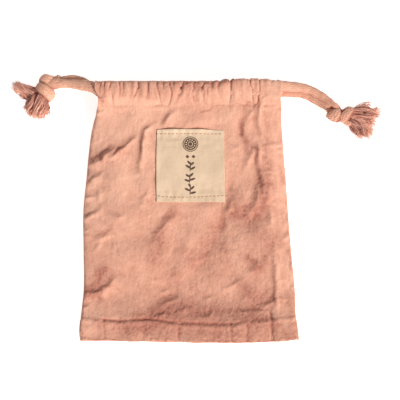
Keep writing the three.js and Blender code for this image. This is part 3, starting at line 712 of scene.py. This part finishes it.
def tube_piece(name, path, material, knot=None, radius=2.85, sides=60, wide=(1.1, 1.1), painted_shade_depth=0.75):
    """A braided cord along a path: rings of points round it, as far out as the radius and the braid's relief, which
    shrink to a blunt tip at each end. It lies flat, wider than high by a factor that changes over its first 30 mm. The
    last argument sets how much painted shade the hollows of its braid and the gaps beside its knot's wraps get."""
    relief, blunt = 0.34, 1.6  # of the braid, and the length of a tip
    side, up = frames_along(path)
    gone = gone_along(path)[:, None]
    turn = np.linspace(0, 2 * math.pi, sides, endpoint=False)[None, :]
    low = braid(turn, gone)
    from_end = np.minimum(gone, gone[-1] - gone)
    tip = np.sqrt(np.clip(1 - (1 - np.clip(from_end / blunt, 0, 1)) ** 2, 0.02, 1))
    slack = 1 + 0.03 * np.sin(gone * 0.9) + 0.025 * np.sin(gone * 0.37 + 2)
    out = (radius * slack + relief * low) * tip
    flat = (wide[0] + (wide[1] - wide[0]) * smoothstep(6, 30, gone))[..., None]
    ring = flat * np.cos(turn)[..., None] * side[:, None] + np.sin(turn)[..., None] / np.sqrt(flat) * up[:, None]
    offset = ring * out[..., None]
    # Painted shade in the braid's hollows, and in the gaps beside the knot's wraps.
    painted_hollow_shade = -low * painted_shade_depth * np.ones_like(out)
    if knot:
        offset, gap_shade = pressed(offset, path, knot.centre, knot.axis)
        painted_hollow_shade += painted_shade_depth * gap_shade
    points = path[:, None] + offset
    points[..., 2] = np.maximum(points[..., 2], 0.02)
    faces = grid_faces(len(path), sides, closed=True).tolist()
    last = (len(path) - 1) * sides
    faces += [list(range(sides))[::-1], list(range(last, last + sides))]
    piece = new_piece(name, points.reshape(-1, 3), faces, material)
    set_value(piece.data, "painted_hollow_shade", painted_hollow_shade)
    return piece


# The casings' levels are the CAD's own, and the lanes are drawn down with the mouth.
UPPER_LANE = TOP - 2.8
LOWER_LANE = UPPER_LANE - CORD - CLEARANCE
BACK_LEVEL = CAD_CLOTH + CLEARANCE + CORD / 2
FRONT_LEVEL = MOUTH_HEIGHT - BACK_LEVEL
# The cords' free routes, from inside the casings to their knots.
ROUTES = {
    "left_front": [
        (-61, LOWER_LANE, FRONT_LEVEL), (-63.5, 81.6, 15.3), (-67.2, 83.9, 14.3), (-71.0, 85.1, 13.3),
        (-74.7, 85.8, 12.4), (-79.2, 86.7, 11.5), (-84.0, 87.4, 10.8), (-89.4, 87.8, 10.2),
    ],
    "left_back": [
        (-61, UPPER_LANE, BACK_LEVEL), (-64, 85.4, 4.2), (-67.3, 86.6, 4.8), (-71.2, 88.5, 5.5),
        (-75.3, 90.5, 6.2), (-80.2, 92.0, 6.6), (-84.7, 92.2, 6.8), (-90.1, 91.0, 6.8),
    ],
    "right_front": [
        (59, UPPER_LANE, FRONT_LEVEL), (62.0, 85.0, 15.0), (65.0, 85.0, 13.9), (70.2, 85.1, 11.6),
        (78.2, 85.0, 9.4), (83.5, 84.0, 8.4), (88.0, 82.0, 7.7), (93.6, 78.6, 7.4), (97.6, 75.0, 7.6),
    ],
    "right_back": [
        (59, LOWER_LANE, BACK_LEVEL), (61.4, 81.3, 4.2), (65.5, 82.7, 4.6), (70.6, 82.5, 4.6),
        (78.6, 82.0, 4.4), (83.4, 80.2, 4.3), (87.0, 78.2, 4.5), (93.0, 74.6, 5.2), (96.4, 72.0, 6.0),
    ],
}


class Knot:
    """A place to tie cords: a centre, and an axis with a heading in degrees from +X."""

    def __init__(self, centre, heading):
        heading = math.radians(heading)
        self.centre = np.array(centre)
        self.axis = np.array([math.cos(heading), math.sin(heading), 0])
        self.left = np.array([-self.axis[1], self.axis[0], 0])

    def at(self, along, across, up):
        """The place that far from the centre along the axis, to its left and upwards."""
        return self.centre + self.axis * along + self.left * across + np.array([0, 0, up])

    def wrap(self, along, reach, across):
        """Points of a turn round the axis, which starts and ends underneath and rises on the left: a
        spiral of that reach, between two distances along the axis."""
        share = np.linspace(0, 1, 14)
        angle = (2 * share - 0.5) * math.pi
        go = along[0] + (along[1] - along[0]) * share
        side, up = across + reach * np.cos(angle), reach * np.sin(angle) * 0.95
        return [self.at(*place) for place in zip(go, side, up)]


KNOTS = {"left": Knot((-101.2, 86.5, 6.6), 237), "right": Knot((105.6, 66.0, 6.6), -27)}
# How each cord goes on after its route: (along, across, up) points in its knot, its wrap there as two
# distances along, the reach and how far across, and more points.
TIES = {
    "left_front": (
        [(-3.6, 3.4, 3.2), (-1.6, 0.9, 2.8), (0.6, -0.4, 0)], ((4.4, 2.2), 5.8, 1.6),
        [(5.8, 1.9, -2.2), (8.6, 2.6, -2.4)],
    ),
    "left_back": (
        [(-7.2, 1.9, 0), (-7.2, -0.4, -2.6)], ((-6.0, -2.6), 3.9, -1.5),
        [(0, -1.0, -1.4), (4.0, -2.6, -1.2), (8.0, -4.0, -2.0), (9.6, -5.4, -2.2)],
    ),
    "right_front": (
        [(-6.3, 3.7, 1.4), (-4.6, 2.8, -1.4)], ((6.6, -0.2), 4.5, 2.2),
        [(7.4, 1.8, -1.6), (10.6, 2.8, -2.0)],
    ),
    "right_back": (
        [(-7.3, -0.4, -1.9)], ((-2.3, -4.9), 3.3, -1.8),
        [(-4.2, -1.6, -0.6), (-1.4, -1.4, -0.2), (4.0, -2.0, -1.2), (9.2, -2.2, -2.0)],
    ),
}
FLATNESS = {  # at the casing, and from 30 mm on
    "left_front": (1.5, 1.15), "left_back": (1.05, 1.05), "right_front": (1.3, 1.08), "right_back": (1.05, 1.05),
}
FRAYS = {
    "left_front": dict(
        name="left_lower_fray", root=(-105.8, 79.8, 4.8), heading=262, length=15.4, neck=12.4, rim=17.4,
        thickness=8.6, clumps=22, yarns=12, curl=0.7, seed=51, radius=0.4, rounding=0.45,
    ),
    "left_back": dict(
        name="left_upper_fray", root=(-108.8, 81.2, 4.8), heading=157, length=16.2, neck=9.8, rim=5.2,
        thickness=5.4, clumps=14, yarns=14, curl=0.6, seed=52, rounding=0.32, skew=-0.2, uneven=0.6,
    ),
    "right_front": dict(
        name="right_upper_fray", root=(112.2, 67.0, 5.4), heading=-2, length=19.4, neck=7.0, rim=13,
        thickness=7.4, clumps=20, yarns=15, curl=1.8, seed=53, radius=0.25, strays=2, uneven=2.0,
    ),
    "right_back": dict(
        name="right_lower_fray", root=(111.6, 63.8, 4.9), heading=-34, length=18.8, neck=7.0, rim=15,
        thickness=7.4, clumps=22, yarns=15, curl=1.8, seed=54, radius=0.25, uneven=2.0,
    ),
}


def tied(name, step=0.34):
    """A cord's smooth path along its route and through its knot, with a point at each step."""
    knot = KNOTS[name.split("_")[0]]
    before, wrap, after = TIES[name]
    points = ROUTES[name] + [knot.at(*place) for place in before] + knot.wrap(*wrap)
    points = np.array(points + [knot.at(*place) for place in after], float)
    return spline(points, int(length_of(points) / step))


def frayed_end(
    name, root, heading, length, neck, rim, thickness, clumps, yarns, curl, seed, material, radius=0.34, strays=0,
    rounding=0.12, skew=0.0, uneven=1.0,
):
    """A cut end that has come apart into clumps of yarns. The clumps leave the neck in an even disc, set
    by the golden angle, and open as share^0.9 to a flat fan, with a sway and a lift that grow towards
    their tips. Each clump's yarns turn round its middle as they go. The last clumps stray further.
    Uneven scales how much the clumps and their yarns differ in length."""
    rng = np.random.default_rng(seed)
    heading = math.radians(heading)
    flat = np.array([math.cos(heading), math.sin(heading), 0])
    left = np.array([-flat[1], flat[0], 0])
    up = np.array([0, 0, 1.0])
    rings, sides, golden_angle, lowest = 10, 4, 2.4, 0.45
    share = np.linspace(0, 1, rings)[None, None, :, None]
    order = np.arange(clumps)
    spread = np.sqrt((order + 0.5) / clumps) * np.where(order >= clumps - strays, 1.35, 1)
    angle = order * golden_angle + rng.normal(0, 0.3, clumps)
    across, high = ((spread * turn)[:, None, None, None] for turn in (np.cos(angle), np.sin(angle)))
    stray = rng.normal(0, 1, (6, clumps, 1, 1, 1))
    own = rng.normal(0, 1, (6, clumps, yarns, 1, 1))
    opening = share**0.9
    cut = (1 + 0.04 * uneven * stray[0]) * (1 - 0.07 * uneven * np.abs(own[0]))
    reach = length * (1 - rounding * across**2 + skew * across) * cut
    sway = curl * opening * (stray[1] * np.sin(3.4 * share + stray[2]) + 0.5 * own[1] * np.sin(7 * share + own[2]))
    lift = curl * opening * (stray[3] * np.sin(4.2 * share + stray[4]) + 0.5 * own[3] * np.sin(6 * share + own[4]))
    clump = neck / 2 / math.sqrt(clumps) * (1 + 1.6 * share) * np.sqrt(rng.uniform(0.05, 1, (1, yarns, 1, 1)))
    twist = rng.uniform(0, 2 * math.pi, (clumps, yarns, 1, 1)) + 3.2 * share
    middle = np.array(root) + flat * (reach * share)
    middle = middle + left * (across * (neck + (rim - neck) * opening) / 2 + sway + clump * np.cos(twist))
    middle = middle + up * (high * (neck + (thickness - neck) * opening) / 2 + 0.7 * lift + clump * np.sin(twist))
    middle = middle.reshape(-1, rings, 3)
    middle[..., 2] = np.maximum(middle[..., 2], lowest)
    thick = radius * rng.uniform(0.75, 1.2, (len(middle), 1, 1, 1)) * (1 - 0.45 * share[0, :, :, None] ** 3)
    piece = bundle(name, middle, thick, sides, material)
    # Painted shade between the yarns near the knot, and a random difference in tone from yarn to yarn.
    depth = 1.1 * (1 - share[0, ..., 0]) ** 1.5 + rng.uniform(-0.6, 0.6, (len(middle), 1))
    set_value(piece.data, "painted_hollow_shade", np.repeat(depth, sides, axis=1))
    return piece


def held_route(exit_x, turn_x, front_lane, back_lane):
    """The stretch of a drawstring that the casings hold: through the front one, round the far end of the
    mouth in a half turn, and back through the back one. A cosine carries it across and down."""
    way, bend = math.copysign(1, turn_x - exit_x), 6
    straight = exit_x + (turn_x - exit_x) * np.linspace(0.01, 0.97, 12)
    angle = np.linspace(0, math.pi, 9)
    share = (1 - np.cos(angle)) / 2
    turn = np.stack([
        turn_x + way * bend * np.sin(angle),
        front_lane + (back_lane - front_lane) * share,
        FRONT_LEVEL + (BACK_LEVEL - FRONT_LEVEL) * share,
    ], 1)
    there = [(x, front_lane, FRONT_LEVEL) for x in straight]
    back = [(x, back_lane, BACK_LEVEL) for x in straight[::-1]]
    return spline(np.concatenate([there, turn, back]), 420)


# ---- Label and stitches ----


def ellipse_distance(x, y, centre, reach, turn=0.0):
    """About how far each point lies outside an ellipse, below 0 inside it: the length of the point
    scaled by the two reaches, less 1, times the smaller reach."""
    cos, sin = math.cos(turn), math.sin(turn)
    dx, dy = x - centre[0], y - centre[1]
    along, across = dx * cos + dy * sin, dy * cos - dx * sin
    return (np.hypot(along / reach[0], across / reach[1]) - 1) * min(reach)


PRINT_X = 0.5  # the printed column's middle
CREST_Y = 43.6
LOZENGES_Y = 34.8
SPRIGS = [  # the foot of each, and its leaves
    ((0.4, 24.6), [(1.2, 3.6, 28), (2.2, 3.9, 148), (4.4, 3.0, 38), (5.0, 2.9, 132)]),
    ((0.1, 16.4), [(1.0, 3.9, 160), (1.9, 3.8, 20), (4.2, 3.3, 150), (4.6, 3.1, 44)]),
    ((0.4, 8.4), [(1.0, 3.9, 12), (2.6, 4.1, 156), (3.6, 3.4, 40), (5.2, 2.6, 116)]),
]
# The label's two rows of stitches.
TOP_ROW = [(-23.6, 50.7), (-12, 50.9), (10, 50.9), (24.2, 50.6)]
BOTTOM_ROW = [(-24.6, 8.7), (-21.6, 7.5), (-18, 6.8), (-4.5, 6.6), (7.8, 6.8), (18, 7.5), (24.5, 7.9), (28.8, 7.9)]


def sprig(x, y, foot, leaves):
    """Distance from a small brushed sprig: a stem, and leaves as (height, length, turn in degrees)."""
    best = ellipse_distance(x, y, (foot[0], foot[1] + 3.2), (3.5, 0.42), math.radians(87))
    for height, length, turn in leaves:
        turn = math.radians(turn)
        start = (foot[0] + 0.1, foot[1] + height)
        middle = (start[0] + math.cos(turn) * length / 2, start[1] + math.sin(turn) * length / 2)
        best = np.minimum(best, ellipse_distance(x, y, middle, (length / 2 + 0.2, 0.74), turn))
    return best


def print_distance(x, y):
    """Distance from the label's print, below 0 on it: a disc with two thin rings and a ring of dots left
    bare, two small lozenges, and three sprigs under each other."""
    disc, outer_ring, dot_ring, inner_ring, dots = 5.4, 4.55, 3.05, 1.55, 12
    ring_half, dot_radius, lozenge_x, lozenge_half = 0.22, 0.46, 2.1, 1.35
    r = np.hypot(x - PRINT_X, y - CREST_Y)
    bare = np.minimum(np.abs(r - outer_ring), np.abs(r - inner_ring)) - ring_half
    angle = np.arctan2(y - CREST_Y, x - PRINT_X)
    dot = np.abs((angle * dots / (2 * math.pi) + 0.25) % 1 - 0.5) * 2 * math.pi / dots * r
    bare = np.minimum(bare, np.hypot(dot, r - dot_ring) - dot_radius)
    best = np.maximum(r - disc, -bare)
    for side in (-1, 1):
        lozenge = np.abs(x - PRINT_X - side * lozenge_x) + np.abs(y - LOZENGES_Y) - lozenge_half
        best = np.minimum(best, lozenge)
    for foot, leaves in SPRIGS:
        best = np.minimum(best, sprig(x, y, foot, leaves))
    return best


def label_z(x, y):
    """Height of the label: it lies on the front, swells a little between its rows of stitches, and lifts
    in two waves at its top edge."""
    low, high = LABEL_LOW, LABEL_HIGH
    calm = np.sin(np.clip((y - 6.2) / 43.6, 0, 1) * math.pi)
    swell = 0.4 * calm * (1 + ripples(x, y, 19, 31))
    edge = smoothstep(50.2, 53.6, y)
    wave = np.exp(-(((x + 11) / 6.5) ** 2)) + 0.9 * np.exp(-(((x - 7) / 6) ** 2))
    pucker = 0.16 * ripples(x, y, 5, 33) * (1 - calm)
    loose = 0.35 * smoothstep(low[0] + 3, low[0], x) + 0.3 * smoothstep(high[0] - 3, high[0], x) * calm
    return front_z(x, y) + 0.45 + swell + 1.35 * edge * wave + pucker + np.abs(loose) * 0.4


def label_sheet(material):
    """The label: a grid whose outline bows by fractions of a millimetre, as hand-folded edges do."""
    low, high = LABEL_LOW, LABEL_HIGH
    x, y = np.meshgrid(np.linspace(low[0], high[0], 170), np.linspace(low[1], high[1], 184))
    up = (y - low[1]) / (high[1] - low[1])
    across = (x - low[0]) / (high[0] - low[0])
    x = x - 0.35 * np.sin(up * 3.0) * (1 - across) + 0.5 * (0.5 - up) * across
    y = y + 0.5 * np.sin(across * math.pi) * up - 0.5 * across * up
    piece = sheet_piece("label_patch", np.stack([x, y, label_z(x, y)], -1), material, LABEL_CLOTH, 0 * x)
    set_value(piece.data, "print", print_distance(x, y))
    return piece


def sewn_height(x, y):
    """Height of whatever cloth is on top: the label within its outline, and the front around it."""
    return np.where(in_label(x, y, 0.2) > 0.9, label_z(x, y), front_z(x, y))


def stitches(name, rows, height, material, seed, radius=0.2):
    """Rows of sewn thread: short tubes that dip into the cloth at both ends, each an arch that goes as
    1 - t^4. Each row is a list of (x, y) points."""
    rng = np.random.default_rng(seed)
    pitch, rings, sides, rise, sink = 2.7, 6, 5, 0.42, 0.3
    feet = []
    for row in rows:
        row = np.array(row, float)
        gone = gone_along(row)
        at = np.arange(pitch / 2, gone[-1] - pitch / 2, pitch)
        for start in at + rng.normal(0, 0.08, len(at)):
            ends = np.array([start - pitch * 0.36, start + pitch * 0.36])
            feet.append(np.stack([np.interp(ends, gone, row[:, 0]), np.interp(ends, gone, row[:, 1])], 1))
    feet = np.array(feet) + rng.normal(0, 0.07, (len(feet), 2, 2))
    share = np.linspace(0, 1, rings)
    flat = feet[:, :1] + (feet[:, 1:] - feet[:, :1]) * share[None, :, None]
    arch = rise * (1 - (2 * share - 1) ** 4) - sink
    z = height(flat[..., 0], flat[..., 1]) + arch
    return bundle(name, np.concatenate([flat, z[..., None]], -1), radius, sides, material)


# ---- Finishes ----


class Wire:
    """An output socket of a material. Arithmetic on it, from either side, adds Math nodes."""

    def __init__(self, finish, socket):
        self.finish, self.socket = finish, socket

    def math(self, operation, *values):
        """A Math node with that operation on the values."""
        return self.finish.node("ShaderNodeMath", {"operation": operation}, dict(enumerate(values)))

    def __add__(self, other):
        return self.math("ADD", self, other)

    def __mul__(self, other):
        return self.math("MULTIPLY", self, other)

    def __sub__(self, other):
        return self.math("SUBTRACT", self, other)

    def __rsub__(self, other):
        return self.math("SUBTRACT", other, self)

    __radd__, __rmul__ = __add__, __mul__

    def clamped(self):
        """The value, but no less than 0 and no more than 1."""
        return self.math("MINIMUM", self.math("MAXIMUM", self, 0.0), 1.0)

    def sine(self):
        return self.math("SINE", self)


class Finish:
    """A material that is being made, and its shader."""

    def __init__(self, name, **constants):
        self.material = bpy.data.materials.new(name)
        self.material.use_nodes = True
        self.tree = self.material.node_tree
        self.shader = self.tree.nodes["Principled BSDF"]
        for socket, value in constants.items():
            self.shader.inputs[socket.replace("_", " ")].default_value = value

    def node(self, kind, settings, sockets, output=0):
        """A node of that type, with its settings set first, then its sockets' values or links."""
        made = self.tree.nodes.new(kind)
        for name, value in settings.items():
            setattr(made, name, value)
        for name, value in sockets.items():
            self.feed(made.inputs[name], value)
        return Wire(self, made.outputs[output])

    def feed(self, socket, value):
        """Links a wire to a socket, or sets the socket to a number or colour."""
        if isinstance(value, Wire):
            self.tree.links.new(value.socket, socket)
        else:
            socket.default_value = value

    def shade(self, **sockets):
        """Feeds the shader's sockets, and gives the finished material."""
        for name, value in sockets.items():
            self.feed(self.shader.inputs[name.replace("_", " ")], value)
        return self.material

    def noise(self, size, detail=2.0, roughness=0.5):
        """Noise from 0 to 1 whose lumps are `size` millimetres, or (x, y, z) of them."""
        place = self.node("ShaderNodeTexCoord", {}, {}, "Object")
        scale = tuple(1 / (MM * span) for span in np.broadcast_to(size, 3).tolist())
        place = self.node("ShaderNodeMapping", {}, {"Vector": place, "Scale": scale})
        sockets = {"Vector": place, "Scale": 1.0, "Detail": detail, "Roughness": roughness}
        return self.node("ShaderNodeTexNoise", {}, sockets, "Fac")

    def weave(self, pitch):
        """Plain weave: the product of two sines, one across and one along the cloth."""
        place = self.node("ShaderNodeTexCoord", {}, {}, "Object")
        apart = self.node("ShaderNodeSeparateXYZ", {}, {"Vector": place})
        along = Wire(self, apart.socket.node.outputs["Y"])
        beat = math.pi / (pitch * MM)
        return (apart * beat).sine() * (along * beat).sine()

    def value(self, name):
        """The number that a mesh holds for each point under that name."""
        return self.node("ShaderNodeAttribute", {"attribute_name": name}, {}, "Fac")

    def mix(self, share, low, high):
        """A colour between two, by a share."""
        sockets = {"Factor": share.clamped(), 6: low, 7: high}
        return self.node("ShaderNodeMix", {"data_type": "RGBA"}, sockets, 2)

    def bump(self, height, distance):
        """Normals as if the surface stood out by that height times a distance in millimetres."""
        return self.node("ShaderNodeBump", {}, {"Height": height, "Distance": distance * MM})


def rgb(red, green, blue):
    """A colour given as it looks on a screen, from 0 to 255, as a shader takes it."""
    shown = np.array([red, green, blue]) / 255
    linear = np.where(shown <= 0.04045, shown / 12.92, ((shown + 0.055) / 1.055) ** 2.4)
    return (*linear.tolist(), 1.0)


def dyed_cotton():
    """Crinkled cotton dyed salmon: faint streaks along the warp, patches of paler and deeper dye at random, and a
    crepe's fine grain, which is coarser where the cloth is crumpled. It takes painted shade, mottled by the grain, and
    painted light from the front's strokes, and redder painted shade in the creases."""
    finish = Finish("dyed_cotton", Roughness=0.9, Sheen_Weight=0.12, Specular_IOR_Level=0.2)
    painted_shading, painted_hollow_shade = finish.value("painted_shading"), finish.value("painted_hollow_shade")
    patches = finish.noise((24, 28, 24), 3)
    streaks = finish.noise((1.1, 12, 2), 2, 0.6)
    specks = finish.noise((1.3, 1.4, 1.3), 3, 0.6)
    grain = finish.noise((2.2, 2.6, 2.2), 3, 0.6)
    painted_shade_depth = painted_shading.clamped()
    # Below 0 the strokes' value is painted light, which makes the cotton paler; above 0 it is painted shade.
    pale = (patches - 0.5) * 1.0 + (streaks - 0.5) * 0.7 + (specks - 0.5) * 1.1 + 0.55 - painted_shading * 0.55
    colour = finish.mix(pale, rgb(216, 153, 129), rgb(243, 187, 160))
    # Painted shade from the front's strokes, mottled by the grain.
    colour = finish.mix(painted_shade_depth * (0.6 + (grain - 0.5) * 1.3), colour, rgb(164, 103, 88))
    # Redder painted shade in the creases.
    colour = finish.mix(painted_hollow_shade * 0.9, colour, rgb(166, 100, 84))
    crepe = finish.noise((1.5, 1.9, 1.5), 3, 0.6) + finish.noise((3.4, 4.4, 3.4), 2) * 1.2
    height = crepe * (0.85 + painted_shade_depth * 0.8) + finish.weave(0.42) * 0.12 + streaks * 0.15
    return finish.shade(Base_Color=colour, Normal=finish.bump(height, 0.43), Roughness=0.8 + specks * 0.2)


def braided_cotton():
    """The cords' soft braid, with fine fibres, and painted shade in the hollows between its strands and in the gaps of
    its knot.
    """
    finish = Finish("braided_cotton", Roughness=0.9, Sheen_Weight=0.15, Specular_IOR_Level=0.2)
    patches = finish.noise(9, 2)
    specks = finish.noise(1.5, 3, 0.6)
    fibres = finish.noise(0.45, 3, 0.6)
    pale = (patches - 0.5) * 0.9 + (specks - 0.5) * 2.2 + (fibres - 0.5) * 0.6 + 0.75
    colour = finish.mix(pale, rgb(206, 143, 118), rgb(243, 190, 162))
    # Painted shade in the braid's hollows and the knot's gaps.
    colour = finish.mix(finish.value("painted_hollow_shade"), colour, rgb(160, 90, 72))
    height = fibres + specks * 1.5 + patches * 0.5
    return finish.shade(Base_Color=colour, Normal=finish.bump(height, 0.14), Roughness=0.8 + fibres * 0.2)


def frayed_cotton():
    """Loose yarns, with painted shade between them near the knot that fades towards their paler tips, and a random
    difference in tone from yarn to yarn.
    """
    finish = Finish("frayed_cotton", Roughness=0.95, Sheen_Weight=0.1, Specular_IOR_Level=0.15)
    patches = finish.noise(3, 2)
    fibres = finish.noise(0.35, 2)
    colour = finish.mix(patches + fibres * 0.5 - 0.15, rgb(214, 146, 127), rgb(248, 194, 170))
    # Painted shade between the yarns near the knot.
    colour = finish.mix(finish.value("painted_hollow_shade") * 0.62, colour, rgb(146, 78, 68))
    return finish.shade(Base_Color=colour, Normal=finish.bump(fibres, 0.08), Roughness=0.85 + fibres * 0.15)


def label_cotton():
    """Undyed cotton with a faint weave, and the print soaked into it in brown."""
    finish = Finish("label_cotton", Roughness=0.9, Sheen_Weight=0.08, Specular_IOR_Level=0.2)
    patches = finish.noise((12, 14, 12), 3)
    slubs = finish.noise((0.7, 5, 1), 2) + finish.noise((6, 0.7, 1), 2)
    colour = finish.mix((patches - 0.5) * 1.2 + slubs * 0.4 + 0.1, rgb(219, 188, 157), rgb(238, 210, 180))
    inked = 0.5 - finish.value("print") * 7.0 + (finish.noise(0.4, 2) - 0.5) * 1.2
    colour = finish.mix(inked, colour, rgb(100, 76, 64))
    height = finish.weave(0.36) * 0.2 + slubs * 0.6 + patches
    return finish.shade(Base_Color=colour, Normal=finish.bump(height, 0.25), Roughness=0.82 + slubs * 0.08)


def sewing_thread(name, low, high):
    """Thread in two shades of one colour, with a fine twist."""
    finish = Finish(name, Roughness=0.7, Specular_IOR_Level=0.3)
    twist = finish.noise(0.25, 2)
    colour = finish.mix((twist - 0.5) * 2 + 0.5, low, high)
    return finish.shade(Base_Color=colour, Normal=finish.bump(twist, 0.06), Roughness=0.65 + twist * 0.2)


def white_floor():
    """A matt white ground with a faint grain, which glows a little."""
    finish = Finish("white_floor", Roughness=0.8, Emission_Color=(1, 1, 1, 1), Emission_Strength=0.66)
    grain = finish.noise(4, 2)
    return finish.shade(Base_Color=finish.mix(grain, rgb(250, 250, 249), rgb(252, 252, 251)))


# ---- The pouch ----

cotton, braid_cotton, frayed = dyed_cotton(), braided_cotton(), frayed_cotton()
front = cloth_face("front_cloth", panel_section(pitch=0.76), columns=174, material=cotton)
front_casing = cloth_face("front_casing", casing_section(pitch=0.45), columns=347, material=cotton)
whole = np.concatenate([panel_section(pitch=1.2), casing_section(pitch=1.2)[1:]])
back = cloth_face("back_cloth", whole, columns=106, material=cotton, up=-1)
patch = label_sheet(label_cotton())
tacking = sewing_thread("brown_thread", rgb(150, 104, 86), rgb(192, 142, 118))
dyed_thread = sewing_thread("dyed_thread", rgb(214, 156, 132), rgb(244, 192, 164))
label_stitches = stitches("label_stitches", [TOP_ROW, BOTTOM_ROW], sewn_height, tacking, seed=41)
casing_row = [(x, STITCH_LINE + 0.35 * math.sin(x * 0.11)) for x in np.linspace(-61, 61, 40)]
casing_row = [(x, lengthwise(np.array(x), np.array(y)).item()) for x, y in casing_row]
casing_stitches = stitches(
    "casing_stitches", [casing_row], lambda x, y: front_z(x, y - lengthwise(x, y) + y), dyed_thread, seed=42,
    radius=0.16,
)

stands_for = {
    "left_front": ("left_front_end", "left_knot", "left_lower_frayed_end"),
    "left_back": ("left_back_end", "left_knot", "left_upper_frayed_end"),
    "right_front": ("right_front_end", "right_knot", "right_upper_frayed_end"),
    "right_back": ("right_back_end", "right_knot", "right_lower_frayed_end"),
}
frays = {name: frayed_end(material=frayed, **shape) for name, shape in FRAYS.items()}
for name, fray in frays.items():
    side, path = name.split("_")[0], tied(name)
    # The left cords get less painted shade in their hollows: painted light for cords that are turned from the lamp.
    painted_shade_depth = 0.5 if side == "left" else 0.8
    cord = tube_piece(f"{name}_cord", path, braid_cotton, KNOTS[side], wide=FLATNESS[name], painted_shade_depth=painted_shade_depth)
    *nodes, fray_node = stands_for[name]
    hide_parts(*nodes)
    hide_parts(fray_node)
    (path[0] * MM).tolist()
    (path * MM).tolist()

held = {
    "left": held_route(-62.5, 57, LOWER_LANE, UPPER_LANE),
    "right": held_route(60.5, -58.3, UPPER_LANE, LOWER_LANE),
}
for side, route in held.items():
    piece = tube_piece(f"{side}_held_cord", route, braid_cotton, radius=2.5, sides=24)
    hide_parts(f"{side}_drawstring")

for piece in (front, front_casing, back):
    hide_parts("pouch_cloth")
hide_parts("label")

# ---- Stage, light and camera ----

half = 12.0  # of the floor's width, in metres
floor_mesh = bpy.data.meshes.new("floor")
floor_mesh.from_pydata([(-half, -half, 0), (half, -half, 0), (half, half, 0), (-half, half, 0)], [], [(0, 1, 2, 3)])
floor_mesh.materials.append(white_floor())
floor = placed("floor", floor_mesh)

azimuth, elevation = -45, 36  # of the light, in degrees from +X and from the ground
light = bpy.data.lights.new("key", "SUN")
light.energy, light.color, light.angle = 3.6, (1.0, 0.97, 0.94), math.radians(7)
lamp = placed("key", light)
lamp.rotation_euler = (0, math.radians(90 - elevation), math.radians(azimuth))
world = bpy.data.worlds.new("studio")
world.use_nodes = True
world.node_tree.nodes["Background"].inputs["Color"].default_value = (0.98, 0.99, 1.0, 1)
world.node_tree.nodes["Background"].inputs["Strength"].default_value = 0.4
bpy.context.scene.world = world
bpy.context.scene.view_settings.view_transform = "Standard"

target = np.array([7.07, 5.85, 5.0])
distance, elevation = 650.0, math.radians(79)
lens = bpy.data.cameras.new("camera")
lens.lens, lens.sensor_width = 85, 36
camera = placed("camera", lens)
camera.location = (target + distance * np.array([0, -math.cos(elevation), math.sin(elevation)])) * MM
camera.rotation_euler = (math.pi / 2 - elevation, 0, 0)
bpy.context.scene.camera = camera
